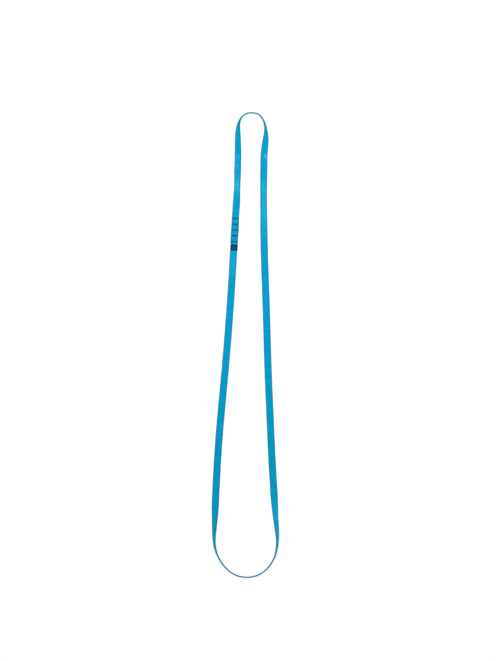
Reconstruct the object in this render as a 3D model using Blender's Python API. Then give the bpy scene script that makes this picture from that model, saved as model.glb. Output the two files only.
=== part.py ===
"""Flat web sling: an endless loop of flat polyester webbing, lapped and sewn.

The loop lies on the plane z = 0 with its long axis along Y. Both legs lie flat,
outer face up. Both bights stand on their edge, leaning inwards by a few degrees,
because webbing bends across its thickness and not in its own plane, so each leg
rolls nearly a quarter turn on its way into a bight. The two ends of the webbing
lap over each other on the left leg and are sewn with five crosswise bar tacks; a
label band is wrapped round the lower end of the lap and sewn along its two edges.

The real webbing is one strip. Here it is cut at the line where the sling folds
in half, so that the upper loop can turn on the lower one.

Metres, +Z up. Origin: middle of the outline, on the plane that the sling lies on.
"""
import math

import bmesh
import bpy
import numpy as np
from mathutils import Matrix

# ----------------------------------------------------------------- dimensions
MM = 0.001
WEB_W = 18.0 * MM  # width of the webbing
WEB_T = 2.4 * MM  # its thickness
WEB_EDGE = 0.6 * MM  # bevel that stands for the rounded selvedge
GAP = 0.3 * MM  # clearance between pieces that touch on the real sling

LAP_LOW = 230.5 * MM  # lower end of the lap on the left leg, along Y
LAP_HIGH = 315.0 * MM  # upper end of the lap, along Y
LAP_LIFT = 1.5 * MM  # the lap rides on its lower threads and label
LAP_RAMP = 17.0 * MM  # length in which a ply climbs onto the lap

TACKS = 5
TACK_FIRST = 311.3 * MM  # middle of the uppermost bar tack, along Y
TACK_PITCH = 14.2 * MM
TACK_L = 4.0 * MM  # along the webbing
TACK_W = 17.0 * MM  # across it
THREAD_T = 0.45 * MM  # height of the stitches above the surface
TACK_LEGS = 4  # bundles of thread that pass through the joint
TACK_LEG_W = 0.9 * MM

LABEL_Y = 239.8 * MM  # middle of the label band
LABEL_L = 14.8 * MM  # along the webbing
LABEL_T = 0.4 * MM
LABEL_NECK = 0.7 * MM  # how far the band pulls each edge of the webbing in
SEAM_L = 1.2 * MM  # label seams, along the webbing
SEAM_W = 14.6 * MM
SEAM_IN = 2.0 * MM  # from the label's edge to the seam's middle
SEAM_LEGS = 4

FOLD_Y = 12.0 * MM  # line on which the sling folds in half
FOLD_Z = 5.0 * MM  # height of the bend's centre

# Route of the webbing's middle line on the plane, in millimetres, clockwise
# from the foot of the left leg: leg, upper bight, leg, lower bight.
ROUTE = [
    (-72.5, -384), (-70.0, -330), (-64.1, -234), (-55.7, -136), (-46.6, -37),
    (-38.8, 61), (-32.0, 160), (-26.4, 258), (-20.5, 357), (-17.9, 430),
    (-17.1, 485), (-17.2, 525), (-14.0, 549), (-5.5, 563.5), (5.2, 570),
    (16.7, 571.3), (29.4, 569.4), (40.1, 561.4), (47.6, 548), (51.4, 528),
    (50.5, 502), (47.5, 472), (46.6, 440), (46.0, 395), (46.2, 330),
    (47.6, 232), (51.1, 130), (54.2, 30), (57.3, -70), (62.0, -180),
    (66.6, -283), (71.8, -370), (76.5, -432), (79.9, -470), (79.0, -496),
    (72.4, -522.3), (57.5, -546.4), (36.2, -563.8), (12.0, -570.5), (-12.9, -568.8),
    (-34.9, -558.7), (-54.3, -539.4), (-68.9, -513.9), (-75.7, -482), (-75.3, -450),
    (-73.7, -415),
]
MIDDLE_X = 14.0 * MM  # between the legs, everywhere

# Roll of the webbing: 0 lies flat, 90 stands on edge. Keys are (Y in
# millimetres, degrees), from the lower bight to the upper one, for each leg.
ROLL_LEFT = [
    (-572, 83), (-545, 83), (-520, 82.5), (-500, 77), (-480, 70), (-455, 57),
    (-431, 42), (-406, 22), (-385, 6), (-368, 0), (340, 0), (362, 22),
    (385, 35), (405, 29), (425, 23), (455, 26), (480, 28), (504, 36),
    (520, 47), (534, 58), (546, 71), (555, 81.5), (562, 83.5), (572, 83),
]
ROLL_RIGHT = [
    (-572, 83), (-545, 83), (-520, 82.5), (-500, 77), (-480, 71), (-455, 58),
    (-431, 49), (-406, 37), (-388, 19), (-370, 3), (-360, 0), (262, 0),
    (290, 14), (330, 22), (365, 24), (405, 20), (430, 13), (450, 13),
    (468, 20), (482, 21), (493, 26), (505, 37), (517, 55), (529, 69),
    (541, 77), (553, 81.5), (562, 83), (572, 83),
]
ROLL_SOFT = 7.0  # millimetres over which the roll's keys are eased


# -------------------------------------------------------------- route and roll
def closed_spline(points):
    """Periodic cubic spline through points, on chord length; returns f(s) and its length."""
    p = np.array(points, float)
    n = len(p)
    step = np.linalg.norm(np.roll(p, -1, axis=0) - p, axis=1)
    a = np.zeros((n, n))
    b = np.zeros((n, 2))
    for i in range(n):
        before, after = step[i - 1], step[i]
        a[i, i - 1] = after
        a[i, i] = 2 * (before + after)
        a[i, (i + 1) % n] = before
        b[i] = 3 * (
            after * (p[i] - p[i - 1]) / before
            + before * (p[(i + 1) % n] - p[i]) / after
        )
    slope = np.linalg.solve(a, b)
    start = np.concatenate([[0], np.cumsum(step)])

    def at(s):
        s = np.mod(np.atleast_1d(np.asarray(s, float)), start[-1])
        i = np.clip(np.searchsorted(start, s, side="right") - 1, 0, n - 1)
        h = step[i][:, None]
        t = ((s - start[i]) / step[i])[:, None]
        j = (i + 1) % n
        return (
            (2 * t**3 - 3 * t**2 + 1) * p[i]
            + (t**3 - 2 * t**2 + t) * h * slope[i]
            + (3 * t**2 - 2 * t**3) * p[j]
            + (t**3 - t**2) * h * slope[j]
        )

    return at, start[-1]


def fine_route():
    """The closed route every half millimetre: points, distance along it, roll in radians."""
    at, length = closed_spline(ROUTE)
    rough = at(np.linspace(0, length, 24001))
    run = np.concatenate([[0], np.cumsum(np.linalg.norm(np.diff(rough, axis=0), axis=1))])
    count = int(round(run[-1] / 0.5))
    s = np.arange(count) * run[-1] / count
    x = np.interp(s, run, rough[:, 0])
    y = np.interp(s, run, rough[:, 1])
    left = np.interp(y, *np.array(ROLL_LEFT, float).T)
    right = np.interp(y, *np.array(ROLL_RIGHT, float).T)
    roll = np.where(x < MIDDLE_X / MM, left, right)
    reach = int(4 * ROLL_SOFT / 0.5)
    kernel = np.exp(-0.5 * (np.arange(-reach, reach + 1) * 0.5 / ROLL_SOFT) ** 2)
    kernel /= kernel.sum()
    wrapped = np.concatenate([roll[-reach:], roll, roll[:reach]])
    roll = np.convolve(wrapped, kernel, mode="valid")
    roll[roll < 0.05] = 0.0
    return np.stack([x, y], axis=1) * MM, s * MM, run[-1] * MM, np.radians(roll)


POINTS, RUN, LOOP, ROLL = fine_route()


def frames(s, lift=0.0):
    """Middle point, across vector (to the inner edge) and face normal at distance s on the loop."""
    s = np.atleast_1d(np.asarray(s, float))

    def mid(q):
        q = np.mod(q, LOOP)
        wrap = np.append(RUN, LOOP)
        x = np.interp(q, wrap, np.append(POINTS[:, 0], POINTS[0, 0]))
        y = np.interp(q, wrap, np.append(POINTS[:, 1], POINTS[0, 1]))
        r = np.interp(q, wrap, np.append(ROLL, ROLL[0]))
        z = WEB_W / 2 * np.sin(r) + WEB_T / 2 * np.cos(r)
        return np.stack([x, y, z], axis=-1), r

    p, roll = mid(s)
    d = 1.0 * MM
    t = mid(s + d)[0] - mid(s - d)[0]
    t /= np.linalg.norm(t, axis=1)[:, None]
    out = np.stack([-t[:, 1], t[:, 0], np.zeros(len(s))], axis=1)
    out /= np.linalg.norm(out, axis=1)[:, None]
    up = np.array([0.0, 0.0, 1.0])
    across = -out * np.cos(roll)[:, None] + up * np.sin(roll)[:, None]
    across -= t * np.sum(across * t, axis=1)[:, None]
    across /= np.linalg.norm(across, axis=1)[:, None]
    face = up * np.cos(roll)[:, None] + out * np.sin(roll)[:, None]
    face -= t * np.sum(face * t, axis=1)[:, None] + across * np.sum(face * across, axis=1)[:, None]
    face /= np.linalg.norm(face, axis=1)[:, None]
    p = p + np.array([0.0, 0.0, 1.0]) * np.broadcast_to(lift, s.shape)[:, None]
    return p, across, face, t


def centred():
    """Moves the route so that the outline's middle is the origin."""
    global POINTS
    p, across, face, _ = frames(RUN)
    rim = np.concatenate([
        p + sx * across * WEB_W / 2 + sz * face * (WEB_T / 2 - WEB_EDGE)
        for sx in (-1, 1) for sz in (-1, 1)
    ] + [
        p + sx * across * (WEB_W / 2 - WEB_EDGE) + sz * face * WEB_T / 2
        for sx in (-1, 1) for sz in (-1, 1)
    ])
    POINTS = POINTS - (rim[:, :2].min(axis=0) + rim[:, :2].max(axis=0)) / 2


centred()


def where(y, left=True):
    """Distance along the loop at which the middle line of a leg passes Y."""
    on = (POINTS[:, 0] < MIDDLE_X) == left
    i = np.nonzero(on)[0]
    # legs only: the bights turn back past the largest and smallest Y
    best = i[np.argsort(np.abs(POINTS[i, 1] - y))[:1]][0]
    j = (best + 1) % len(POINTS)
    dy = POINTS[j, 1] - POINTS[best, 1]
    return RUN[best] + (y - POINTS[best, 1]) / dy * (RUN[1] - RUN[0])


S_LAP_LOW = where(LAP_LOW)
S_LAP_HIGH = where(LAP_HIGH)
S_FOLD_LEFT = where(FOLD_Y)
S_FOLD_RIGHT = where(FOLD_Y, left=False)
S_LABEL = where(LABEL_Y)
TACKS_Y = [TACK_FIRST - n * TACK_PITCH for n in range(TACKS)]


def ease(x):
    x = np.clip(x, 0, 1)
    return x * x * (3 - 2 * x)


def lift_lower(s):
    """Lift of the lower ply above the plane, by distance along the loop."""
    return LAP_LIFT * (1 - ease((s - S_LAP_HIGH - 5 * MM) / (1.5 * LAP_RAMP)))


def lift_upper(s):
    """Lift of the upper ply: up a ramp below the lap, then level."""
    top = LAP_LIFT + WEB_T + GAP
    return top * ease((s - (S_LAP_LOW - 4 * MM - LAP_RAMP)) / LAP_RAMP)


# ------------------------------------------------------------------- modelling
for old in list(bpy.data.objects):
    bpy.data.objects.remove(old, do_unlink=True)


def material(name, colour, rough, metal=0.0):
    m = bpy.data.materials.new(name)
    m.use_nodes = True
    shader = m.node_tree.nodes["Principled BSDF"]
    shader.inputs["Base Color"].default_value = (*colour, 1)
    shader.inputs["Roughness"].default_value = rough
    shader.inputs["Metallic"].default_value = metal
    m.diffuse_color = (*colour, 1)
    return m


WEB = material("webbing_blue", (0.0, 0.33, 0.62), 0.8)
THREAD = material("thread_dark_blue", (0.01, 0.12, 0.30), 0.7)
LABEL = material("label_navy", (0.012, 0.035, 0.07), 0.75)


def empty(name, at):
    e = bpy.data.objects.new(name, None)
    e.location = at
    bpy.context.scene.collection.objects.link(e)
    return e


UPPER = empty("fold_axis", (0, FOLD_Y, FOLD_Z))
LOWER = empty("lower_frame", (0, 0, 0))
bpy.context.view_layer.update()


def add(name, mesh, mat, parent, smooth=False):
    o = bpy.data.objects.new(name, mesh)
    bpy.context.scene.collection.objects.link(o)
    mesh.materials.clear()
    mesh.materials.append(mat)
    if parent is not None:
        o.parent = parent
        o.matrix_parent_inverse = parent.matrix_world.inverted()
    if smooth:
        mesh.shade_smooth()
        mesh.set_sharp_from_angle(angle=math.radians(40))
    return o


def stations(a, b, extra=()):
    """Distances from a to b: close together in bends and rolls, far apart in straight flat runs."""
    s = np.arange(a, b, 0.5 * MM)
    t = frames(s)[3]
    across = frames(s)[1]
    turn = np.degrees(np.linalg.norm(np.diff(t, axis=0), axis=1) + np.linalg.norm(np.diff(across, axis=0), axis=1))
    out, total, last = [a], 0.0, a
    for i in range(1, len(s)):
        total += turn[i - 1]
        if total > 9.0 or s[i] - last > 45 * MM:
            out.append(s[i])
            total, last = 0.0, s[i]
    out = [q for q in out if all(abs(q - e) > 1.5 * MM for e in (*extra, b))]
    return np.array(sorted({*out, a, b, *extra}))


def strap(name, a, b, parent, lift=None, label=False, extra=()):
    """A closed strip of webbing from distance a to b on the loop."""
    marks = list(extra)
    if label:
        marks += [S_LABEL + k * (LABEL_L / 2 + GAP) + e for k in (-1, 1) for e in (-0.02 * MM, 0.02 * MM)]
    s = stations(a, b, marks)
    up = lift(s) if lift else 0.0
    p, across, face, t = frames(s, up)
    if lift:  # a ply that climbs leans back with its slope
        slope = (lift(s + 0.5 * MM) - lift(s - 0.5 * MM)) / (1.0 * MM)
        face = face - t * slope[:, None] * face[:, 2:3]
        face /= np.linalg.norm(face, axis=1)[:, None]
    necked = np.abs(s - S_LABEL) < LABEL_L / 2 + GAP if label else np.zeros(len(s), bool)
    bm = bmesh.new()
    rings = []
    for i in range(len(s)):
        hw = WEB_W / 2 - (LABEL_NECK if necked[i] else 0)
        ht, e = WEB_T / 2, WEB_EDGE
        shape = [(-hw + e, -ht), (hw - e, -ht), (hw, -ht + e), (hw, ht - e),
                 (hw - e, ht), (-hw + e, ht), (-hw, ht - e), (-hw, -ht + e)]
        rings.append([bm.verts.new(p[i] + u * across[i] + v * face[i]) for u, v in shape])
    for r0, r1 in zip(rings, rings[1:]):
        for k in range(8):
            bm.faces.new((r0[k], r0[(k + 1) % 8], r1[(k + 1) % 8], r1[k]))
    bm.faces.new(rings[0])
    bm.faces.new(rings[-1])
    bmesh.ops.triangulate(bm, faces=bm.faces)
    bmesh.ops.recalc_face_normals(bm, faces=bm.faces)
    mesh = bpy.data.meshes.new(name)
    bm.to_mesh(mesh)
    bm.free()
    return add(name, mesh, WEB, parent, smooth=True)


def block(bm, x0, x1, y0, y1, z0, z1):
    made = bmesh.ops.create_cube(bm, size=1.0)["verts"]
    bmesh.ops.scale(bm, vec=(x1 - x0, y1 - y0, z1 - z0), verts=made)
    bmesh.ops.translate(bm, vec=((x0 + x1) / 2, (y0 + y1) / 2, (z0 + z1) / 2), verts=made)


def prism(name, outline, half):
    """An outline in X and Z, drawn out along Y by half each way."""
    bm = bmesh.new()
    face = bm.faces.new([bm.verts.new((x, -half, z)) for x, z in outline])
    drawn = bmesh.ops.extrude_face_region(bm, geom=[face])["geom"]
    bmesh.ops.translate(bm, vec=(0, 2 * half, 0), verts=[g for g in drawn if isinstance(g, bmesh.types.BMVert)])
    bmesh.ops.triangulate(bm, faces=bm.faces)
    bmesh.ops.recalc_face_normals(bm, faces=bm.faces)
    mesh = bpy.data.meshes.new(name)
    bm.to_mesh(mesh)
    bm.free()
    return mesh


def leg_centres(width, count):
    inset = width / (2 * count)
    return [-width / 2 + inset * (2 * i + 1) for i in range(count)]


def comb(width, count, leg_w, z_out, z_in, z_tip):
    """Outline of one thread: a band on the surface, with legs down into the joint."""
    pts = [(-width / 2, z_out), (width / 2, z_out), (width / 2, z_in)]
    for x in reversed(leg_centres(width, count)):
        pts += [(x + leg_w / 2, z_in), (x + leg_w / 2, z_tip), (x - leg_w / 2, z_tip), (x - leg_w / 2, z_in)]
    pts.append((-width / 2, z_in))
    return pts


def stand(o, y):
    """Puts a piece on the lap at Y, square to the leg."""
    p, _, _, t = frames(where(y))
    o.parent = UPPER
    o.matrix_parent_inverse = UPPER.matrix_world.inverted()
    o.location = (p[0][0], p[0][1], 0)
    o.rotation_euler = (0, 0, math.atan2(-t[0][0], t[0][1]))
    return o


Z_LOW = LAP_LIFT  # underside of the lower ply
Z_MID = Z_LOW + WEB_T + GAP / 2  # between the plies
Z_TOP = Z_LOW + 2 * WEB_T + GAP  # top of the upper ply
LEG_TIP = GAP / 2  # each thread's legs stop this far from the middle

# the strip of webbing, in three runs
upper_bight = strap("webbing_upper_bight", S_LAP_LOW, S_FOLD_RIGHT - GAP / 2, UPPER, lift=lift_lower, label=True,
                    extra=[S_LAP_HIGH + 5 * MM, S_LAP_HIGH + 5 * MM + 0.75 * LAP_RAMP, S_LAP_HIGH + 5 * MM + 1.5 * LAP_RAMP])
lap_leg = strap("webbing_lap_leg", S_FOLD_LEFT + GAP / 2, S_LAP_HIGH, UPPER, lift=lift_upper, label=True,
                extra=[S_LAP_LOW - 4 * MM - LAP_RAMP * k for k in (0, 0.25, 0.5, 0.75, 1)])
lower_bight = strap("webbing_lower_bight", S_FOLD_RIGHT + GAP / 2, S_FOLD_LEFT - GAP / 2 + LOOP, LOWER)


# the bar tacks: a needle thread above and a bobbin thread below, locked between the plies
tack_over = prism("tack_needle", comb(TACK_W, TACK_LEGS, TACK_LEG_W, Z_TOP + GAP + THREAD_T, Z_TOP + GAP, Z_MID + LEG_TIP), TACK_L / 2)
tack_under = prism("tack_bobbin", comb(TACK_W, TACK_LEGS, TACK_LEG_W, Z_LOW - GAP - THREAD_T, Z_LOW - GAP, Z_MID - LEG_TIP), TACK_L / 2)
for n, y in enumerate(TACKS_Y, 1):
    stand(add(f"bar_tack_{n}_needle_thread", tack_over.copy(), THREAD, None), y)
    stand(add(f"bar_tack_{n}_bobbin_thread", tack_under.copy(), THREAD, None), y)

# the label band: a tape wrapped round both plies, its ends butted underneath
hw = WEB_W / 2
z0, z1 = Z_LOW - GAP - LABEL_T, Z_TOP + GAP + LABEL_T
butt = 0.4 * MM
band = prism("label_band", [
    (butt, z0), (hw, z0), (hw, z1), (-hw, z1), (-hw, z0), (-butt, z0),
    (-butt, z0 + LABEL_T), (-hw + LABEL_T, z0 + LABEL_T), (-hw + LABEL_T, z1 - LABEL_T),
    (hw - LABEL_T, z1 - LABEL_T), (hw - LABEL_T, z0 + LABEL_T), (butt, z0 + LABEL_T),
], LABEL_L / 2)
label = stand(add("label_band", band, LABEL, None), LABEL_Y)

seam_over = prism("seam_needle", comb(SEAM_W, SEAM_LEGS, TACK_LEG_W, z1 + GAP + THREAD_T, z1 + GAP, Z_MID + LEG_TIP), SEAM_L / 2)
seam_under = prism("seam_bobbin", comb(SEAM_W, SEAM_LEGS, TACK_LEG_W, z0 - GAP - 0.4 * MM, z0 - GAP, Z_MID - LEG_TIP), SEAM_L / 2)
SEAMS = {"upper": LABEL_Y + LABEL_L / 2 - SEAM_IN, "lower": LABEL_Y - LABEL_L / 2 + SEAM_IN}
for side, y in SEAMS.items():
    stand(add(f"label_seam_{side}_needle_thread", seam_over.copy(), THREAD, None), y)
    stand(add(f"label_seam_{side}_bobbin_thread", seam_under.copy(), THREAD, None), y)


# slots where the threads pass through the plies and the label
def slots(name, rows):
    """A guide that cuts the slots: rows of (Y, width of the row, legs, length along the webbing)."""
    bm = bmesh.new()
    for y, width, count, length in rows:
        p, _, _, t = frames(where(y))
        part = bmesh.new()
        for x in leg_centres(width, count):
            block(part, x - TACK_LEG_W / 2 - GAP, x + TACK_LEG_W / 2 + GAP, -length / 2 - GAP, length / 2 + GAP, -2 * MM, 11 * MM)
        bmesh.ops.rotate(part, cent=(0, 0, 0), verts=part.verts,
                         matrix=Matrix.Rotation(math.atan2(-t[0][0], t[0][1]), 3, "Z"))
        bmesh.ops.translate(part, vec=(p[0][0], p[0][1], 0), verts=part.verts)
        piece = bpy.data.meshes.new("row")
        part.to_mesh(piece)
        part.free()
        bm.from_mesh(piece)
        bpy.data.meshes.remove(piece)
    bmesh.ops.recalc_face_normals(bm, faces=bm.faces)
    mesh = bpy.data.meshes.new(name)
    bm.to_mesh(mesh)
    bm.free()
    o = bpy.data.objects.new(name, mesh)
    bpy.context.scene.collection.objects.link(o)
    o.hide_render = True
    o.display_type = "WIRE"
    return o


ROWS = [(y, TACK_W, TACK_LEGS, TACK_L) for y in TACKS_Y] + [(y, SEAM_W, SEAM_LEGS, SEAM_L) for y in SEAMS.values()]
through = slots("stitch_slots", ROWS)
for o in (upper_bight, lap_leg, label):
    cut = o.modifiers.new("stitch_slots", "BOOLEAN")
    cut.operation = "DIFFERENCE"
    cut.solver = "EXACT"
    cut.object = through

bpy.context.view_layer.update()
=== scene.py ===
import math

import bmesh
import bpy
import numpy as np
from mathutils import Matrix, Vector


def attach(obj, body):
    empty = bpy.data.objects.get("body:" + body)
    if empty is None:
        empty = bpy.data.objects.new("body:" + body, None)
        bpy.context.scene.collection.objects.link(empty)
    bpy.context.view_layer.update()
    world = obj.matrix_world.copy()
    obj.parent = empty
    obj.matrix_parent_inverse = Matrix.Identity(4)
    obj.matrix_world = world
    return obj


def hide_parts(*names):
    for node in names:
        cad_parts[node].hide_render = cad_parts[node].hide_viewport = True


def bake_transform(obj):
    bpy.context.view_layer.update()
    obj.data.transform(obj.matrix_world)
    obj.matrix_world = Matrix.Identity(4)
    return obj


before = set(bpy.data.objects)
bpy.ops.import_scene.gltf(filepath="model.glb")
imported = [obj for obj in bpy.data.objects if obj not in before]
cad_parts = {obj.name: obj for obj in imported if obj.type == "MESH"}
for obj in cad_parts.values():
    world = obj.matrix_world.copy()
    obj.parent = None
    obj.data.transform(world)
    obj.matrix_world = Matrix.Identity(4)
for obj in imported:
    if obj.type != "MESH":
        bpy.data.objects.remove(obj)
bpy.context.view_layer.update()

MM = 0.001
PX = 2.461 * MM  # size of one picture element at the sling

# ------------------------------------------------------------------- camera
scene = bpy.context.scene
DISTANCE = 12.0
cam_data = bpy.data.cameras.new("camera")
cam_data.type = "PERSP"
cam_data.sensor_width = 36.0
cam_data.lens = 36.0 * DISTANCE / (661 * PX)
cam_data.clip_start, cam_data.clip_end = 0.1, 200.0
camera = bpy.data.objects.new("camera", cam_data)
scene.collection.objects.link(camera)
camera.location = (6.2 * MM, 35.8 * MM, DISTANCE)
camera.rotation_euler = (0, 0, 0)
scene.camera = camera
scene.view_settings.view_transform = "Standard"
scene.view_settings.look = "None"

# ------------------------------------------------- route, the same as the CAD's
WEB_W = 18.0 * MM
WEB_T = 2.4 * MM
GAP = 0.3 * MM
LAP_LOW = 230.5 * MM
LAP_HIGH = 315.0 * MM
LAP_RAMP = 17.0 * MM
TACKS = 5
TACK_FIRST = 311.3 * MM
TACK_PITCH = 14.2 * MM
TACK_L = 4.0 * MM
TACK_W = 17.0 * MM
LABEL_Y = 239.8 * MM
LABEL_L = 14.8 * MM
SEAM_W = 14.6 * MM
SEAM_IN = 2.0 * MM

ROUTE = [
    (-72.5, -384), (-70.0, -330), (-64.1, -234), (-55.7, -136), (-46.6, -37),
    (-38.8, 61), (-32.0, 160), (-26.4, 258), (-20.5, 357), (-17.9, 430),
    (-17.1, 485), (-17.2, 525), (-14.0, 549), (-5.5, 563.5), (5.2, 570),
    (16.7, 571.3), (29.4, 569.4), (40.1, 561.4), (47.6, 548), (51.4, 528),
    (50.5, 502), (47.5, 472), (46.6, 440), (46.0, 395), (46.2, 330),
    (47.6, 232), (51.1, 130), (54.2, 30), (57.3, -70), (62.0, -180),
    (66.6, -283), (71.8, -370), (76.5, -432), (79.9, -470), (79.0, -496),
    (72.4, -522.3), (57.5, -546.4), (36.2, -563.8), (12.0, -570.5), (-12.9, -568.8),
    (-34.9, -558.7), (-54.3, -539.4), (-68.9, -513.9), (-75.7, -482), (-75.3, -450),
    (-73.7, -415),
]
MIDDLE_X = 14.0 * MM
ROLL_LEFT = [
    (-572, 83), (-545, 83), (-520, 82.5), (-500, 77), (-480, 70), (-455, 57),
    (-431, 42), (-406, 22), (-385, 6), (-368, 0), (340, 0), (362, 22),
    (385, 35), (405, 29), (425, 23), (455, 26), (480, 28), (504, 36),
    (520, 47), (534, 58), (546, 71), (555, 81.5), (562, 83.5), (572, 83),
]
ROLL_RIGHT = [
    (-572, 83), (-545, 83), (-520, 82.5), (-500, 77), (-480, 71), (-455, 58),
    (-431, 49), (-406, 37), (-388, 19), (-370, 3), (-360, 0), (262, 0),
    (290, 14), (330, 22), (365, 24), (405, 20), (430, 13), (450, 13),
    (468, 20), (482, 21), (493, 26), (505, 37), (517, 55), (529, 69),
    (541, 77), (553, 81.5), (562, 83), (572, 83),
]
ROLL_SOFT = 7.0


def closed_spline(points):
    p = np.array(points, float)
    n = len(p)
    step = np.linalg.norm(np.roll(p, -1, axis=0) - p, axis=1)
    a = np.zeros((n, n))
    b = np.zeros((n, 2))
    for i in range(n):
        before, after = step[i - 1], step[i]
        a[i, i - 1] = after
        a[i, i] = 2 * (before + after)
        a[i, (i + 1) % n] = before
        b[i] = 3 * (
            after * (p[i] - p[i - 1]) / before
            + before * (p[(i + 1) % n] - p[i]) / after
        )
    slope = np.linalg.solve(a, b)
    start = np.concatenate([[0], np.cumsum(step)])

    def at(s):
        s = np.mod(np.atleast_1d(np.asarray(s, float)), start[-1])
        i = np.clip(np.searchsorted(start, s, side="right") - 1, 0, n - 1)
        h = step[i][:, None]
        t = ((s - start[i]) / step[i])[:, None]
        j = (i + 1) % n
        return (
            (2 * t**3 - 3 * t**2 + 1) * p[i]
            + (t**3 - 2 * t**2 + t) * h * slope[i]
            + (3 * t**2 - 2 * t**3) * p[j]
            + (t**3 - t**2) * h * slope[j]
        )

    return at, start[-1]


def fine_route():
    at, length = closed_spline(ROUTE)
    rough = at(np.linspace(0, length, 24001))
    run = np.concatenate([[0], np.cumsum(np.linalg.norm(np.diff(rough, axis=0), axis=1))])
    count = int(round(run[-1] / 0.5))
    s = np.arange(count) * run[-1] / count
    x = np.interp(s, run, rough[:, 0])
    y = np.interp(s, run, rough[:, 1])
    left = np.interp(y, *np.array(ROLL_LEFT, float).T)
    right = np.interp(y, *np.array(ROLL_RIGHT, float).T)
    roll = np.where(x < MIDDLE_X / MM, left, right)
    reach = int(4 * ROLL_SOFT / 0.5)
    kernel = np.exp(-0.5 * (np.arange(-reach, reach + 1) * 0.5 / ROLL_SOFT) ** 2)
    kernel /= kernel.sum()
    wrapped = np.concatenate([roll[-reach:], roll, roll[:reach]])
    roll = np.convolve(wrapped, kernel, mode="valid")
    roll[roll < 0.05] = 0.0
    return np.stack([x, y], axis=1) * MM, s * MM, run[-1] * MM, np.radians(roll)


POINTS, RUN, LOOP, ROLL = fine_route()
WEB_EDGE = 0.6 * MM


def frames(s):
    """Middle point without lift, across (to the inner edge), outer face normal and tangent."""
    s = np.atleast_1d(np.asarray(s, float))
    wrap = np.append(RUN, LOOP)

    def mid(q):
        q = np.mod(q, LOOP)
        x = np.interp(q, wrap, np.append(POINTS[:, 0], POINTS[0, 0]))
        y = np.interp(q, wrap, np.append(POINTS[:, 1], POINTS[0, 1]))
        r = np.interp(q, wrap, np.append(ROLL, ROLL[0]))
        z = WEB_W / 2 * np.sin(r) + WEB_T / 2 * np.cos(r)
        return np.stack([x, y, z], axis=-1), r

    p, roll = mid(s)
    d = 1.0 * MM
    t = mid(s + d)[0] - mid(s - d)[0]
    t /= np.linalg.norm(t, axis=1)[:, None]
    out = np.stack([-t[:, 1], t[:, 0], np.zeros(len(s))], axis=1)
    out /= np.linalg.norm(out, axis=1)[:, None]
    up = np.array([0.0, 0.0, 1.0])
    across = -out * np.cos(roll)[:, None] + up * np.sin(roll)[:, None]
    across -= t * np.sum(across * t, axis=1)[:, None]
    across /= np.linalg.norm(across, axis=1)[:, None]
    face = up * np.cos(roll)[:, None] + out * np.sin(roll)[:, None]
    face -= t * np.sum(face * t, axis=1)[:, None] + across * np.sum(face * across, axis=1)[:, None]
    face /= np.linalg.norm(face, axis=1)[:, None]
    return p, across, face, t


def centred():
    global POINTS
    p, across, face, _ = frames(RUN)
    rim = np.concatenate([
        p + sx * across * WEB_W / 2 + sz * face * (WEB_T / 2 - WEB_EDGE)
        for sx in (-1, 1) for sz in (-1, 1)
    ] + [
        p + sx * across * (WEB_W / 2 - WEB_EDGE) + sz * face * WEB_T / 2
        for sx in (-1, 1) for sz in (-1, 1)
    ])
    POINTS = POINTS - (rim[:, :2].min(axis=0) + rim[:, :2].max(axis=0)) / 2


centred()


def where(y, left=True):
    on = (POINTS[:, 0] < MIDDLE_X) == left
    i = np.nonzero(on)[0]
    best = i[np.argsort(np.abs(POINTS[i, 1] - y))[:1]][0]
    j = (best + 1) % len(POINTS)
    dy = POINTS[j, 1] - POINTS[best, 1]
    return RUN[best] + (y - POINTS[best, 1]) / dy * (RUN[1] - RUN[0])


S_LOW, S_HIGH, S_LABEL = where(LAP_LOW), where(LAP_HIGH), where(LABEL_Y)
TACKS_Y = [TACK_FIRST - n * TACK_PITCH for n in range(TACKS)]
S_TACKS = np.array([where(y) for y in TACKS_Y])
SEAMS_Y = {"upper": LABEL_Y + LABEL_L / 2 - SEAM_IN, "lower": LABEL_Y - LABEL_L / 2 + SEAM_IN}
S_SEAMS = np.array([where(y) for y in SEAMS_Y.values()])

# the plies press on each other here, where the CAD keeps a gap
LIFT_LOW = 1.35 * MM
LIFT_HIGH = LIFT_LOW + WEB_T + 0.12 * MM


def ease(x):
    x = np.clip(x, 0, 1)
    return x * x * (3 - 2 * x)


def hump(s, at, width):
    """Sum of soft bumps at each place in at."""
    return sum(np.exp(-0.5 * ((s - a) / width) ** 2) for a in np.atleast_1d(at))


def noise(s, seed, scale):
    """Smooth, repeatable wave of about one unit along a distance."""
    rng = np.random.default_rng(seed)
    out = np.zeros_like(s)
    for k in range(7):
        out += rng.uniform(0.4, 1.0) * np.sin(2 * math.pi * s / (scale * rng.uniform(0.5, 2.2)) + rng.uniform(0, 6.28))
    return out / 2.6


# painted highlights, paler places where the strap would catch the light: leg, Y, offset towards the inner edge,
# length, width, strength
PAINTED_HIGHLIGHTS = [
    (False, 464.7, -3.4, 3.4, 2.6, 0.85),
    (True, 460.0, 1.0, 6.0, 7.0, 0.22),
    (True, 393.0, 0.5, 14.0, 7.0, 0.42),
    (True, 440.0, -2.0, 5.0, 5.0, 0.16),
    (False, 340.0, 0.0, 38.0, 8.0, 0.26),
    (False, 388.0, 2.5, 10.0, 4.0, 0.20),
    (True, 205.0, -2.0, 22.0, 7.0, 0.16),
    (False, -424.0, 0.0, 42.0, 14.0, 0.14),
]


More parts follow.
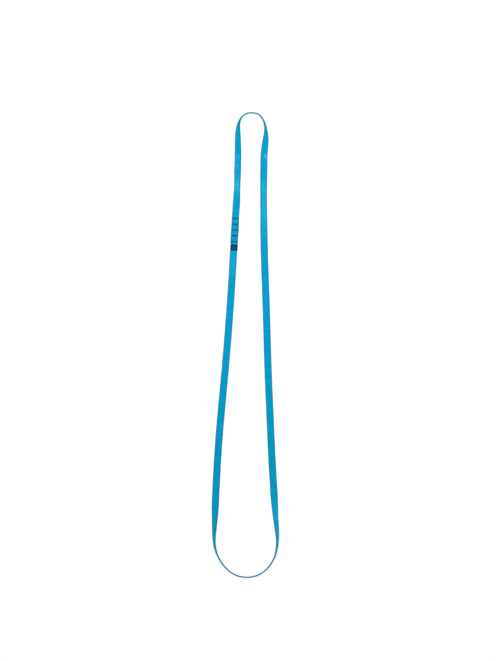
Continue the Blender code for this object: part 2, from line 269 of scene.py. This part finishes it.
# --------------------------------------------------------------------- strap
def strap():
    """The whole webbing as one closed strip, from its end under the lap round to its end on top."""
    a, b = S_LOW, S_HIGH + LOOP
    n = 3100
    s = np.linspace(a, b, n)
    p, across, face, t = frames(s)
    lower = LIFT_LOW * (1 - ease((s - S_HIGH - 5 * MM) / (1.5 * LAP_RAMP)))
    upper = LIFT_HIGH * ease((s - LOOP - (S_LOW - 4 * MM - LAP_RAMP)) / LAP_RAMP)
    on_top = s > LOOP
    lift = np.where(on_top, upper, lower)
    slope = np.gradient(lift, s)
    face = face - t * slope[:, None] * face[:, 2:3]
    face /= np.linalg.norm(face, axis=1)[:, None]
    p = p + np.array([0, 0, 1.0]) * lift[:, None]

    q = np.mod(s, LOOP)
    in_lap = ((q > S_LOW - 1 * MM) & (q < S_HIGH + 1 * MM)).astype(float)
    # sewn by hand and eye, the two plies are not quite in line
    h = (q - S_LABEL) / MM  # height above the label's middle
    top_off = -0.05 * ease((h + 40) / 25) + 0.40 * ease((h + 13) / 7) - 0.72 * ease((h - 6) / 7)
    low_off = 0.50 - 0.80 * ease((h - 48) / 30) + 0.30 * ease((h - 88) / 27)
    p = p + across * (np.where(on_top, top_off, low_off) * MM)[:, None]
    tacked = hump(q, S_TACKS, 1.5 * MM) * in_lap
    seamed = hump(q, S_SEAMS, 1.0 * MM) * in_lap
    banded = ease((LABEL_L / 2 + 1.2 * MM - np.abs(q - S_LABEL)) / (1.2 * MM)) * in_lap

    # ends cut with a hot knife: thinner, slightly drawn in, with a rounded lip
    from_end = np.minimum(s - a, b - s)
    sealed = 1 - ease(from_end / (0.9 * MM))
    lip = 1 - ease(from_end / (0.5 * MM))

    half_w = WEB_W / 2 * np.ones(n)
    half_w += 0.05 * MM * np.sin(2 * math.pi * s / (2.4 * MM))  # selvedge loops, one for each pair of picks
    half_w += 0.10 * MM * noise(s, 3, 0.06)
    half_w -= 0.80 * MM * banded + 0.22 * MM * tacked + 0.25 * MM * sealed
    half_t = WEB_T / 2 * np.ones(n)
    half_t -= 0.22 * MM * tacked + 0.30 * MM * sealed + 0.45 * MM * lip + 0.20 * MM * banded + 0.06 * MM * seamed

    m_face, m_edge = 12, 4  # points over each broad face and round each edge
    flat = 1 - 2 * 0.055  # share of the width that is broad face
    u_face = np.linspace(-flat, flat, m_face)
    ring_u, ring_v, ring_w = [], [], []  # across, through, crown weight
    for u in u_face:  # lower (inner) face, outer edge to inner edge
        ring_u.append(u), ring_v.append(-1.0), ring_w.append(1 - (u / flat) ** 4)
    for k in range(m_edge):  # inner selvedge
        ang = -math.pi / 2 + math.pi * (k + 1) / (m_edge + 1)
        ring_u.append(flat + (1 - flat) * math.cos(ang)), ring_v.append(math.sin(ang) * 0.97), ring_w.append(0)
    for u in u_face[::-1]:
        ring_u.append(u), ring_v.append(1.0), ring_w.append(1 - (u / flat) ** 4)
    for k in range(m_edge):
        ang = math.pi / 2 - math.pi * (k + 1) / (m_edge + 1)
        ring_u.append(-flat - (1 - flat) * math.cos(ang)), ring_v.append(math.sin(ang) * 0.97), ring_w.append(0)
    ring_u, ring_v, ring_w = map(np.array, (ring_u, ring_v, ring_w))
    m = len(ring_u)

    uu = half_w[:, None] * ring_u[None, :]
    side = np.sign(ring_v)[None, :]
    vv = half_t[:, None] * ring_v[None, :]
    flatness = (np.abs(ring_v) > 0.99).astype(float)[None, :]
    # thin selvedge groove, crosswise ribs and slow ripples of the cloth
    groove = np.exp(-0.5 * ((np.abs(ring_u) - 0.86) / 0.035) ** 2)[None, :] * flatness
    vv -= side * 0.07 * MM * groove
    vv += side * 0.045 * MM * ring_w[None, :] * np.sin(2 * math.pi * s / (2.4 * MM))[:, None]
    vv += side * 0.04 * MM * flatness * np.sin(2 * math.pi * (s[:, None] / (2.4 * MM) * 0.5 + ring_u[None, :] * 3.0)) * ring_w[None, :]
    free = (1 - in_lap) * (1 - np.clip(sealed, 0, 1))
    ripple = 0.10 * MM * noise(s, 11, 0.018) + 0.08 * MM * noise(s, 12, 0.009)
    vv += (ripple * free)[:, None] * (0.4 + 0.6 * ring_w[None, :])
    # between the bar tacks the plies swell a little
    swell = 0.10 * MM * in_lap * (1 - np.clip(tacked + banded, 0, 1))
    vv += side * swell[:, None] * ring_w[None, :]

    co = p[:, None, :] + across[:, None, :] * uu[..., None] + face[:, None, :] * vv[..., None]
    low = co[..., 2] < 0.02 * MM
    co[..., 2][low] = 0.02 * MM
    ends = np.stack([co[0].mean(axis=0), co[-1].mean(axis=0)])
    verts = np.concatenate([co.reshape(-1, 3), ends])

    i = np.arange(n - 1)[:, None] * m
    k = np.arange(m)[None, :]
    k2 = (k + 1) % m
    quads = np.stack([i + k, i + k2, i + m + k2, i + m + k], axis=-1).reshape(-1, 4)
    tris_a = [(n * m, int(x), int(y)) for x, y in zip((np.arange(m) + 1) % m, np.arange(m))]
    last = (n - 1) * m
    tris_b = [(n * m + 1, int(last + x), int(last + y)) for x, y in zip(np.arange(m), (np.arange(m) + 1) % m)]
    mesh = bpy.data.meshes.new("webbing_strap")
    mesh.from_pydata(verts.tolist(), [], quads.tolist() + tris_a + tris_b)

    # coordinates for the weave: metres round the section, and metres along the strip
    ring_pos = np.concatenate([[0], np.cumsum(np.hypot(np.diff(np.append(ring_u, ring_u[0])) * WEB_W / 2, np.diff(np.append(ring_v, ring_v[0])) * WEB_T / 2))])
    shift = ring_pos[:-1] - ring_pos[:m_face].mean()
    along = np.concatenate([np.repeat(s, m), [s[0], s[-1]]])
    round_ = np.concatenate([np.tile(shift, n), [0, 0]])
    a1 = mesh.attributes.new("weave_along", "FLOAT", "POINT")
    a1.data.foreach_set("value", along.astype(np.float32))
    across_share = np.concatenate([np.tile(ring_u, n), [0, 0]])
    a2 = mesh.attributes.new("weave_across", "FLOAT", "POINT")
    a2.data.foreach_set("value", (across_share * WEB_W / 2).astype(np.float32))
    edge = np.clip((np.abs(ring_u) - 0.86) / 0.08, 0, 1)
    # share towards both edges where the face is darkened as painted shade
    rim = np.clip((np.abs(ring_u) - 0.68) / 0.22, 0, 1)
    a3 = mesh.attributes.new("selvedge", "FLOAT", "POINT")
    a3.data.foreach_set("value", np.concatenate([np.tile(edge, n), [1, 1]]).astype(np.float32))
    a4 = mesh.attributes.new("sealed", "FLOAT", "POINT")
    a4.data.foreach_set("value", np.concatenate([np.repeat(np.clip(sealed, 0, 1), m), [1, 1]]).astype(np.float32))
    # painted highlights, laid along the strap as paler patches
    painted_highlight = np.zeros((n, m))
    for left, y, u, long, wide, strength in PAINTED_HIGHLIGHTS:
        near = where(y * MM, left)
        d = np.abs(np.mod(s - near + LOOP / 2, LOOP) - LOOP / 2)
        painted_highlight += strength * np.exp(-0.5 * (d / (long * MM)) ** 2)[:, None] * np.exp(-0.5 * ((uu - u * MM) / (wide * MM)) ** 2)
    a5 = mesh.attributes.new("painted_highlight", "FLOAT", "POINT")
    a5.data.foreach_set("value", np.concatenate([np.clip(painted_highlight, 0, 1).ravel(), [0, 0]]).astype(np.float32))
    a6 = mesh.attributes.new("rim", "FLOAT", "POINT")
    a6.data.foreach_set("value", np.concatenate([np.tile(rim, n), [1, 1]]).astype(np.float32))
    sewn = ease((S_HIGH - q + 1 * MM) / (3 * MM)) * ease((h + 15) / 6) * on_top
    a7 = mesh.attributes.new("sewn", "FLOAT", "POINT")
    a7.data.foreach_set("value", np.concatenate([np.repeat(sewn, m), [0, 0]]).astype(np.float32))
    uv = mesh.uv_layers.new(name="weave")
    loop_v = np.empty(len(mesh.loops), np.int32)
    mesh.loops.foreach_get("vertex_index", loop_v)
    uv.data.foreach_set("uv", np.stack([round_[loop_v], along[loop_v]], axis=1).astype(np.float32).ravel())
    mesh.shade_smooth()
    o = bpy.data.objects.new("webbing_strap", mesh)
    scene.collection.objects.link(o)
    bm = bmesh.new()
    bm.from_mesh(mesh)
    bmesh.ops.recalc_face_normals(bm, faces=bm.faces)
    bm.to_mesh(mesh)
    bm.free()
    return o


# -------------------------------------------------------------------- thread
def tube(bm, path, radius, sides=6):
    """A round thread along path, with closed ends."""
    path = [Vector(x) for x in path]
    n = len(path)
    tangents = [(path[min(i + 1, n - 1)] - path[max(i - 1, 0)]).normalized() for i in range(n)]
    normal = tangents[0].orthogonal().normalized()
    rings = []
    for i in range(n):
        t = tangents[i]
        normal = (normal - t * normal.dot(t)).normalized()
        other = t.cross(normal)
        rings.append([
            bm.verts.new(path[i] + radius * (math.cos(2 * math.pi * k / sides) * normal + math.sin(2 * math.pi * k / sides) * other))
            for k in range(sides)
        ])
    for r0, r1 in zip(rings, rings[1:]):
        for k in range(sides):
            bm.faces.new((r0[k], r0[(k + 1) % sides], r1[(k + 1) % sides], r1[k]))
    bm.faces.new(rings[0][::-1])
    bm.faces.new(rings[-1])


def place(y):
    """Matrix of the lap's plane at Y: X across the leg, Y along it."""
    p, _, _, t = frames(where(y))
    turn = math.atan2(-t[0][0], t[0][1])
    return Matrix.Translation((p[0][0], p[0][1], 0)) @ Matrix.Rotation(turn, 4, "Z")


def make(name, bm, matrix=None):
    bmesh.ops.recalc_face_normals(bm, faces=bm.faces)
    mesh = bpy.data.meshes.new(name)
    bm.to_mesh(mesh)
    bm.free()
    mesh.shade_smooth()
    if matrix is not None:
        mesh.transform(matrix)
    o = bpy.data.objects.new(name, mesh)
    scene.collection.objects.link(o)
    return o


def bar_tack(name, y, surface, sign, seed, radius=0.24 * MM):
    """A dense zigzag of one thread over the bar's width; sign is +1 above the joint and -1 under it."""
    rng = np.random.default_rng(seed)
    half_x, half_y = TACK_W / 2 - 0.25 * MM, TACK_L / 2
    count = 40
    path = []
    for i in range(count + 1):
        x = -half_x + 2 * half_x * i / count
        way = 1 if i % 2 else -1
        jx, jy = rng.normal(0, 0.04), rng.normal(0, 0.07)
        hx, hy = x + jx * MM, way * (half_y + jy * MM)
        rise = (0.30 + 0.05 * rng.random()) * MM
        if path:
            px, py, _ = path[-1]
            for f, h in ((0.10, 0.25), (0.32, 0.92), (0.5, 1.0), (0.68, 0.92), (0.90, 0.25)):
                path.append((px + (hx - px) * f, py + (hy - py) * f, surface + sign * rise * h))
        path.append((hx, hy, surface - sign * 0.55 * MM))
    bm = bmesh.new()
    tube(bm, path, radius)
    return make(name, bm, place(y))


def seam(name, y, surface, sign, seed, radius=0.20 * MM):
    """A row of straight lockstitches across the label."""
    rng = np.random.default_rng(seed)
    half, stitches = SEAM_W / 2, 7
    pitch = 2 * half / stitches
    path = [(-half, 0, surface - sign * 0.4 * MM)]
    for i in range(stitches):
        x0, x1 = -half + i * pitch, -half + (i + 1) * pitch
        jy = rng.normal(0, 0.05) * MM
        for f, h in ((0.07, 0.1), (0.16, 0.8), (0.5, 1.0), (0.84, 0.8), (0.93, 0.1)):
            path.append((x0 + (x1 - x0) * f, jy, surface + sign * 0.20 * MM * h))
        path.append((x1, 0, surface - sign * 0.4 * MM))
    bm = bmesh.new()
    tube(bm, path, radius)
    return make(name, bm, place(y))


# --------------------------------------------------------------------- label
LABEL_T = 0.38 * MM
LABEL_X = 0.50 * MM  # the label sits a touch towards the inside of the loop
WEB_BOTTOM = LIFT_LOW
WEB_TOP = LIFT_HIGH + WEB_T


def label_band():
    """A woven tape wrapped round both plies, its ends butted underneath."""
    z0, z1 = WEB_BOTTOM - 0.04 * MM, WEB_TOP + 0.04 * MM  # inner faces
    hw = WEB_W / 2 - 0.35 * MM
    r = 2.0 * MM
    butt = 0.12 * MM
    loop = []  # outline of the inner face, from one butted end to the other
    for x in np.linspace(butt, hw - r, 12):
        loop.append((x, z0, 0.0))
    for a in np.linspace(-math.pi / 2, 0, 6)[1:]:
        loop.append((hw - r + r * math.cos(a), z0 + r + r * math.sin(a), 0.0))
    for z in np.linspace(z0 + r, z1 - r, 7)[1:]:
        loop.append((hw, z, 0.0))
    for a in np.linspace(0, math.pi / 2, 6)[1:]:
        loop.append((hw - r + r * math.cos(a), z1 - r + r * math.sin(a), 0.0))
    for x in np.linspace(hw - r, -hw + r, 24)[1:]:
        loop.append((x, z1, 1.0))
    for a in np.linspace(math.pi / 2, math.pi, 6)[1:]:
        loop.append((-hw + r + r * math.cos(a), z1 - r + r * math.sin(a), 0.0))
    for z in np.linspace(z1 - r, z0 + r, 7)[1:]:
        loop.append((-hw, z, 0.0))
    for a in np.linspace(math.pi, 1.5 * math.pi, 6)[1:]:
        loop.append((-hw + r + r * math.cos(a), z0 + r + r * math.sin(a), 0.0))
    for x in np.linspace(-hw + r, -butt, 12)[1:]:
        loop.append((x, z0, 0.0))
    pts = np.array([q[:2] for q in loop])
    tangent = np.gradient(pts, axis=0)
    tangent /= np.linalg.norm(tangent, axis=1)[:, None]
    outward = np.stack([tangent[:, 1], -tangent[:, 0]], axis=1)
    run = np.concatenate([[0], np.cumsum(np.linalg.norm(np.diff(pts, axis=0), axis=1))])
    ys = np.concatenate([np.linspace(-LABEL_L / 2, LABEL_L / 2, 37)])
    bm = bmesh.new()
    along = bm.verts.layers.float.new("weave_along")
    acr = bm.verts.layers.float.new("weave_across")
    grid = []
    for layer in (0, 1):
        rows = []
        for y in ys:
            near_edge = min(y + LABEL_L / 2, LABEL_L / 2 - y)
            row = []
            for j, (x, z) in enumerate(pts):
                # drawn down along the two rows of stitches, full between them, and a little uneven
                on_face = float(ease((hw - 0.6 * r - abs(x)) / (1.2 * MM)))
                seam_dip = 0.20 * MM * math.exp(-0.5 * ((abs(y) - (LABEL_L / 2 - SEAM_IN)) / (0.70 * MM)) ** 2)
                crown = 0.22 * MM * math.cos(math.pi * y / LABEL_L) ** 2 * (0.5 + 0.5 * math.cos(math.pi * x / (2 * hw)))
                wave = 0.045 * MM * math.sin(run[j] / (2.3 * MM) + 1.7 * math.sin(y / (2.9 * MM))) * math.cos(y / (1.9 * MM) + 0.8)
                off = (crown - seam_dip) * on_face + wave
                if layer:
                    thin = 0.16 * MM * max(0.0, 1 - near_edge / (0.4 * MM))
                    off += LABEL_T - thin + 0.022 * MM * math.sin(2 * math.pi * run[j] / (0.9 * MM))
                frayed = 1 + 0.011 * math.sin(run[j] / (2.9 * MM)) + 0.008 * math.sin(run[j] / (1.2 * MM) + 1)
                v = bm.verts.new((x + LABEL_X + outward[j][0] * off, y * frayed, z + outward[j][1] * off))
                v[along] = y
                v[acr] = run[j] - run[-1] / 2
                row.append(v)
            rows.append(row)
        grid.append(rows)
    inner, outer = grid
    ny, nx = len(ys), len(pts)
    for i in range(ny - 1):
        for j in range(nx - 1):
            bm.faces.new((outer[i][j], outer[i][j + 1], outer[i + 1][j + 1], outer[i + 1][j]))
            bm.faces.new((inner[i][j], inner[i + 1][j], inner[i + 1][j + 1], inner[i][j + 1]))
    for j in range(nx - 1):
        bm.faces.new((inner[0][j], inner[0][j + 1], outer[0][j + 1], outer[0][j]))
        bm.faces.new((inner[-1][j], outer[-1][j], outer[-1][j + 1], inner[-1][j + 1]))
    for i in range(ny - 1):
        bm.faces.new((inner[i][0], outer[i][0], outer[i + 1][0], inner[i + 1][0]))
        bm.faces.new((inner[i][-1], inner[i + 1][-1], outer[i + 1][-1], outer[i][-1]))
    return make("woven_label", bm, place(LABEL_Y))


# ----------------------------------------------------------------- materials
def new_material(name):
    m = bpy.data.materials.new(name)
    m.use_nodes = True
    nt = m.node_tree
    shader = nt.nodes["Principled BSDF"]
    return m, nt, shader


def srgb(r, g, b):
    def lin(c):
        c /= 255
        return c / 12.92 if c <= 0.04045 else ((c + 0.055) / 1.055) ** 2.4
    return (lin(r), lin(g), lin(b), 1.0)


class Nodes:
    """Short hands for building a node tree."""

    def __init__(self, nt):
        self.nt = nt

    def attribute(self, name):
        n = self.nt.nodes.new("ShaderNodeAttribute")
        n.attribute_name = name
        return n.outputs["Fac"]

    def math(self, op, a, b=None, c=None, clamp=False):
        n = self.nt.nodes.new("ShaderNodeMath")
        n.operation = op
        n.use_clamp = clamp
        for i, v in enumerate((a, b, c)):
            if v is None:
                continue
            if isinstance(v, (int, float)):
                n.inputs[i].default_value = v
            else:
                self.nt.links.new(v, n.inputs[i])
        return n.outputs[0]

    def mix(self, fac, a, b, blend="MIX"):
        n = self.nt.nodes.new("ShaderNodeMix")
        n.data_type = "RGBA"
        n.blend_type = blend
        n.clamp_factor = True
        for socket, v in ((n.inputs[0], fac), (n.inputs[6], a), (n.inputs[7], b)):
            if isinstance(v, (int, float)):
                socket.default_value = v
            elif isinstance(v, tuple):
                socket.default_value = v
            else:
                self.nt.links.new(v, socket)
        return n.outputs[2]

    def combine(self, x, y, z=0.0):
        n = self.nt.nodes.new("ShaderNodeCombineXYZ")
        for i, v in enumerate((x, y, z)):
            if isinstance(v, (int, float)):
                n.inputs[i].default_value = v
            else:
                self.nt.links.new(v, n.inputs[i])
        return n.outputs[0]

    def noise(self, vector, scale, detail=2.0, rough=0.5):
        n = self.nt.nodes.new("ShaderNodeTexNoise")
        n.inputs["Scale"].default_value = scale
        n.inputs["Detail"].default_value = detail
        n.inputs["Roughness"].default_value = rough
        self.nt.links.new(vector, n.inputs["Vector"])
        return n.outputs["Fac"]

    def position(self):
        n = self.nt.nodes.new("ShaderNodeTexCoord")
        return n.outputs["Object"]

    def bump(self, height, strength, distance, normal=None):
        n = self.nt.nodes.new("ShaderNodeBump")
        n.inputs["Strength"].default_value = strength
        n.inputs["Distance"].default_value = distance
        self.nt.links.new(height, n.inputs["Height"])
        if normal is not None:
            self.nt.links.new(normal, n.inputs["Normal"])
        return n.outputs["Normal"]

    def link(self, a, b):
        self.nt.links.new(a, b)


def webbing_material():
    m, nt, shader = new_material("webbing_blue_weave")
    k = Nodes(nt)
    along = k.attribute("weave_along")
    across = k.attribute("weave_across")
    selvedge = k.attribute("selvedge")
    sealed = k.attribute("sealed")
    # warp cords 0.8 mm wide, floats 1.8 mm long, every other cord half a float on, none quite even
    uneven = k.noise(k.combine(across, along), 420.0, 1.0, 0.5)
    col = k.math("ADD", k.math("DIVIDE", k.math("ADD", across, k.math("MULTIPLY", k.math("SUBTRACT", uneven, 0.5), 0.35 * MM)), 0.8 * MM), 0.5)
    odd = k.math("MULTIPLY", k.math("ABSOLUTE", k.math("FRACT", k.math("MULTIPLY", k.math("FLOOR", col), 0.5))), 1.0)
    pull = k.noise(k.combine(k.math("MULTIPLY", across, 3.0), along), 260.0, 1.0, 0.5)
    pick = k.math("ADD", k.math("DIVIDE", k.math("ADD", along, k.math("MULTIPLY", k.math("SUBTRACT", pull, 0.5), 1.1 * MM)), 1.8 * MM), odd)
    u = k.math("SUBTRACT", k.math("MULTIPLY", k.math("FRACT", col), 2.0), 1.0)
    v = k.math("SUBTRACT", k.math("MULTIPLY", k.math("FRACT", pick), 2.0), 1.0)
    # each float is a small oval, high in the middle and lost between its neighbours
    oval = k.math("ADD", k.math("MULTIPLY", k.math("MULTIPLY", u, u), 0.85), k.math("MULTIPLY", k.math("MULTIPLY", v, v), 0.75))
    gap = k.math("MULTIPLY", k.math("SUBTRACT", oval, 0.42), 1.7, clamp=True)
    relief = k.math("SUBTRACT", 1.0, k.math("MULTIPLY", oval, 0.9), clamp=True)
    plane = k.combine(across, along)
    fibre = k.noise(k.combine(k.math("MULTIPLY", across, 9.0), along), 900.0, 3.0, 0.6)
    blotch = k.noise(plane, 60.0, 2.0, 0.5)
    # crosswise bars, partly tone of the dyeing and of the picks' tension, partly painted sheen
    dye_and_sheen_bars = k.noise(k.combine(k.math("MULTIPLY", across, 0.10), along), 170.0, 2.5, 0.6)

    # slow crosswise bars: partly tone that tension and dye leave, partly painted sheen where the strap would catch the
    # light; and thin packing creases drawn as darker lines, which is painted shade
    dye_and_sheen_bars = k.math("ADD", k.math("MULTIPLY", k.math("SUBTRACT", dye_and_sheen_bars, 0.5), 1.9), 0.5)
    shade = k.math("ADD", k.math("MULTIPLY", dye_and_sheen_bars, 0.75), k.math("MULTIPLY", blotch, 0.35), clamp=True)
    base = k.mix(shade, srgb(0, 150, 208), srgb(0, 191, 238))
    # painted shade: thin crosswise creases drawn as darker lines, with no crease in the shape
    crease_shade = k.noise(k.combine(k.math("MULTIPLY", across, 0.03), along), 75.0, 0.0, 0.5)
    crease_shade = k.math("SUBTRACT", 1.0, k.math("MULTIPLY", k.math("ABSOLUTE", k.math("SUBTRACT", crease_shade, 0.56)), 110.0), clamp=True)
    base = k.mix(k.math("MULTIPLY", crease_shade, 0.30), base, srgb(0, 122, 172))
    # painted shade: the weave is darkened in the gaps between the floats
    base = k.mix(k.math("MULTIPLY", gap, 0.62, clamp=True), base, srgb(0, 92, 139))
    base = k.mix(k.math("MULTIPLY", k.math("SUBTRACT", fibre, 0.5), 0.5, clamp=True), base, srgb(16, 192, 236))
    # painted highlights: paler patches where the strap would catch the light
    base = k.mix(k.attribute("painted_highlight"), base, srgb(62, 208, 242))
    base = k.mix(k.math("MULTIPLY", k.attribute("sewn"), 0.45), base, srgb(34, 140, 176))
    # painted shade: the broad face darkens towards both edges, as if they curved away from the light
    base = k.mix(k.math("MULTIPLY", k.attribute("rim"), 0.60), base, srgb(0, 122, 156))
    # the weft turns back in small loops along the selvedge
    turn = k.math("SUBTRACT", k.math("MULTIPLY", k.math("FRACT", k.math("DIVIDE", k.math("ADD", along, k.math("MULTIPLY", k.math("SUBTRACT", pull, 0.5), 0.8 * MM)), 1.2 * MM)), 2.0), 1.0)
    turn = k.math("MULTIPLY", turn, turn)
    # the selvedge colour is darker and greener, partly for the edge's own denser weave and partly as painted shade on
    # the edges that face sideways
    edge_tone = k.mix(turn, srgb(0, 139, 152), srgb(0, 119, 134))
    base = k.mix(k.math("MULTIPLY", selvedge, 0.80), base, edge_tone)
    base = k.mix(k.math("MULTIPLY", sealed, 0.7), base, srgb(0, 128, 172))
    k.link(base, shader.inputs["Base Color"])
    rough = k.math("SUBTRACT", k.math("ADD", 0.78, k.math("MULTIPLY", fibre, 0.2)), k.math("MULTIPLY", sealed, 0.45))
    k.link(rough, shader.inputs["Roughness"])
    height = k.math("ADD", k.math("MULTIPLY", relief, k.math("SUBTRACT", 1.0, selvedge)), k.math("MULTIPLY", k.math("SUBTRACT", 1.0, turn), k.math("MULTIPLY", selvedge, 0.35)))
    height = k.math("ADD", height, k.math("MULTIPLY", fibre, 0.35))
    height = k.math("MULTIPLY", height, k.math("SUBTRACT", 1.0, sealed))
    k.link(k.bump(height, 0.75, 0.00028), shader.inputs["Normal"])
    shader.inputs["Specular IOR Level"].default_value = 0.045
    shader.inputs["Sheen Weight"].default_value = 0.05
    shader.inputs["Sheen Roughness"].default_value = 0.45
    shader.inputs["Sheen Tint"].default_value = srgb(0, 190, 235)
    m.diffuse_color = srgb(0, 155, 208)
    return m


def thread_material():
    m, nt, shader = new_material("thread_dark_blue")
    k = Nodes(nt)
    position = k.position()
    twist = k.noise(position, 3200.0, 2.0, 0.5)
    slow = k.noise(position, 350.0, 1.0, 0.5)
    base = k.mix(k.math("ADD", k.math("MULTIPLY", twist, 0.7), k.math("MULTIPLY", slow, 0.3), clamp=True), srgb(0, 76, 124), srgb(0, 118, 172))
    k.link(base, shader.inputs["Base Color"])
    k.link(k.math("ADD", 0.5, k.math("MULTIPLY", twist, 0.25)), shader.inputs["Roughness"])
    k.link(k.bump(twist, 0.5, 0.00008), shader.inputs["Normal"])
    shader.inputs["Specular IOR Level"].default_value = 0.06
    m.diffuse_color = srgb(0, 80, 130)
    return m


def label_material():
    m, nt, shader = new_material("label_navy_weave")
    k = Nodes(nt)
    along = k.attribute("weave_along")
    across = k.attribute("weave_across")
    warp = k.math("COSINE", k.math("MULTIPLY", k.math("DIVIDE", across, 0.45 * MM), 2 * math.pi))
    weft = k.math("COSINE", k.math("MULTIPLY", k.math("DIVIDE", along, 0.38 * MM), 2 * math.pi))
    relief = k.math("ADD", k.math("MULTIPLY", k.math("MULTIPLY", warp, weft), 0.45), 0.5)
    fuzz = k.noise(k.combine(across, along), 2200.0, 2.0, 0.6)
    # a plain lighter panel between the two seams, as on a blank woven label
    inside = k.math("SUBTRACT", 1.0, k.math("MULTIPLY", k.math("SUBTRACT", k.math("ABSOLUTE", along), LABEL_L / 2 - SEAM_IN - 1.3 * MM), 1000.0, clamp=True), clamp=True)
    across_in = k.math("SUBTRACT", 1.0, k.math("MULTIPLY", k.math("SUBTRACT", k.math("ABSOLUTE", across), 5.2 * MM), 650.0, clamp=True), clamp=True)
    panel = k.math("MULTIPLY", inside, across_in)
    base = k.mix(relief, srgb(0, 26, 44), srgb(0, 68, 96))
    lighter = k.mix(relief, srgb(0, 58, 80), srgb(0, 108, 140))
    base = k.mix(k.math("MULTIPLY", panel, 0.85), base, lighter)
    base = k.mix(k.math("MULTIPLY", k.math("SUBTRACT", fuzz, 0.5), 0.4, clamp=True), base, srgb(12, 96, 124))
    k.link(base, shader.inputs["Base Color"])
    k.link(k.math("ADD", 0.62, k.math("MULTIPLY", fuzz, 0.2)), shader.inputs["Roughness"])
    k.link(k.bump(k.math("ADD", relief, k.math("MULTIPLY", fuzz, 0.3)), 0.5, 0.0001), shader.inputs["Normal"])
    shader.inputs["Specular IOR Level"].default_value = 0.05
    m.diffuse_color = srgb(0, 45, 75)
    return m


WEBBING, THREAD, LABEL = webbing_material(), thread_material(), label_material()

# -------------------------------------------------------------------- pieces
webbing = strap()
webbing.data.materials.append(WEBBING)
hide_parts("webbing_upper_bight", "webbing_lap_leg", "webbing_lower_bight")
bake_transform(webbing)

tops, unders = WEB_TOP - 0.20 * MM, WEB_BOTTOM + 0.20 * MM
for n, y in enumerate(TACKS_Y, 1):
    for word, surface, sign in (("needle", tops, 1), ("bobbin", unders, -1)):
        o = bar_tack(f"tack_{n}_{word}_stitches", y, surface, sign, 100 + 10 * n + sign)
        o.data.materials.append(THREAD)
        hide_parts(f"bar_tack_{n}_{word}_thread")
        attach(o, "upper_loop")

label = label_band()
label.data.materials.append(LABEL)
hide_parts("label_band")
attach(label, "upper_loop")

for side, y in SEAMS_Y.items():
    for word, surface, sign in (("needle", WEB_TOP + LABEL_T - 0.16 * MM, 1), ("bobbin", WEB_BOTTOM - LABEL_T + 0.16 * MM, -1)):
        o = seam(f"label_{side}_{word}_stitches", y, surface, sign, 300 + sign + len(side) * (1 if side == "upper" else 2))
        o.data.materials.append(THREAD)
        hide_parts(f"label_seam_{side}_{word}_thread")
        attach(o, "upper_loop")

# --------------------------------------------------------- floor and light
# a round floor that sweeps up into a low wall far away, so that no horizon shows
SWEEP = [(0.5, 0.0), (3.0, 0.0), (12.0, 0.0), (27.0, 0.0)]
SWEEP += [(27.0 + 3.0 * math.sin(a), 3.0 - 3.0 * math.cos(a)) for a in np.radians(np.arange(7.5, 91, 7.5))]
SWEEP += [(30.0, 4.5)]
sides = 96
floor_verts, floor_faces = [(0.0, 0.0, -0.0002)], []
for r, z in SWEEP:
    for j in range(sides):
        a = 2 * math.pi * j / sides
        floor_verts.append((r * math.cos(a), r * math.sin(a), z - 0.0002))
for j in range(sides):
    floor_faces.append((0, 1 + j, 1 + (j + 1) % sides))
    for i in range(len(SWEEP) - 1):
        u, v = 1 + i * sides, 1 + (i + 1) * sides
        floor_faces.append((u + j, v + j, v + (j + 1) % sides, u + (j + 1) % sides))
floor_mesh = bpy.data.meshes.new("floor")
floor_mesh.from_pydata(floor_verts, [], floor_faces)
floor_mesh.shade_smooth()
floor = bpy.data.objects.new("floor", floor_mesh)
scene.collection.objects.link(floor)
m, nt, shader = new_material("floor_white")
shader.inputs["Base Color"].default_value = (0.25, 0.25, 0.25, 1)
shader.inputs["Roughness"].default_value = 1.0
shader.inputs["Specular IOR Level"].default_value = 0.0
shader.inputs["Emission Color"].default_value = (1, 1, 1, 1)
shader.inputs["Emission Strength"].default_value = 0.825
floor.data.materials.append(m)

world = bpy.data.worlds.new("studio")
scene.world = world
world.use_nodes = True
world.node_tree.nodes["Background"].inputs["Color"].default_value = (1, 1, 1, 1)
world.node_tree.nodes["Background"].inputs["Strength"].default_value = 0.40


def softbox(name, at, size, power, look):
    light = bpy.data.lights.new(name, "AREA")
    light.shape = "RECTANGLE"
    light.size, light.size_y = size
    light.energy = power
    o = bpy.data.objects.new(name, light)
    scene.collection.objects.link(o)
    o.location = at
    o.rotation_mode = "QUATERNION"
    o.rotation_quaternion = (Vector(look) - Vector(at)).to_track_quat("-Z", "Y")
    o.visible_camera = False
    return o


softbox("overhead", (0.38, 0.3, 3.0), (2.6, 2.6), 43.1, (0, 0, 0))
softbox("key", (-0.03, 0.37, 0.75), (0.45, 0.35), 1.65, (0.01, 0.36, 0))
